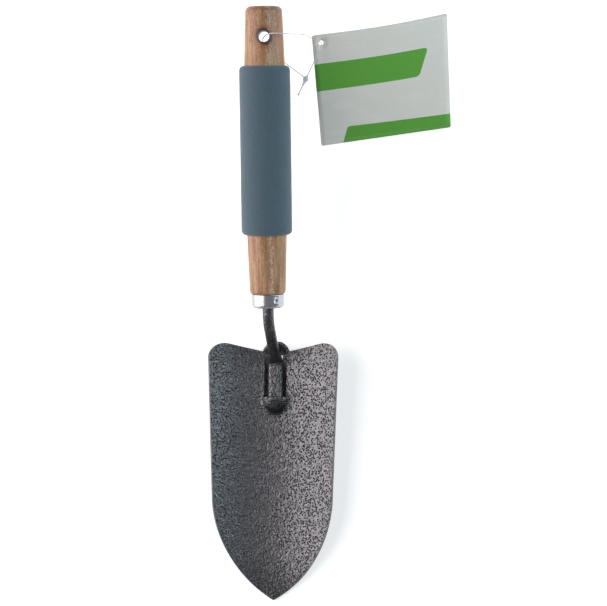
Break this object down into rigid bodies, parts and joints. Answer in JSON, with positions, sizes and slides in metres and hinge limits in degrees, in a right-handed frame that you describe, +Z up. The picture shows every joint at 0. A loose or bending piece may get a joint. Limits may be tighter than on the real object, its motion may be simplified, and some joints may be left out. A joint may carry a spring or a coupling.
{
  "type": "hand trowel",
  "caption": "Hand trowel with a pressed scoop blade, a cranked steel shank and a turned wooden handle in a foam grip.",
  "frame": {"origin": "on the surface the trowel lies on, below the middle of its outer box", "axes": "+Z up, +Y from the blade's tip towards the handle's butt, +X across the blade; the hollow side of the blade faces up"},
  "size_m": [0.1399, 0.3373, 0.0822],
  "materials": {
    "hammered_enamel": "hammered grey-black enamel, semi-gloss",
    "rod_enamel": "smooth dark grey enamel, semi-gloss",
    "ferrule_plate": "bright plated steel",
    "turned_wood": "sanded hardwood, matt oil finish",
    "grip_foam": "closed-cell foam, matt, blue-grey",
    "tag_print": "coated card with two plain green bands and no lettering",
    "clear_nylon": "clear, slightly milky nylon"
  },
  "bodies": {
    "trowel": {"blade": "hammered_enamel", "shank": "rod_enamel", "weld_beads": "rod_enamel", "ferrule": "ferrule_plate", "handle": "turned_wood", "grip_sleeve": "grip_foam"},
    "loop": {"hang_loop": "clear_nylon", "loop_lock": "clear_nylon"},
    "tag": {"tag_card": "tag_print"}
  },
  "joints": [
    {"name": "loop_swing", "type": "hinge", "parent": "trowel", "child": "loop", "pos_m": [0, 0.15049, 0.06824], "axis": [0.1392, -0.1907, 0.9717], "range_deg": [0, 40]},
    {"name": "tag_turn", "type": "hinge", "parent": "loop", "child": "tag", "pos_m": [0.0302, 0.1502, 0.0513], "axis": [0.3235, -0.4671, 0.8229], "range_deg": [0, 15]}
  ]
}
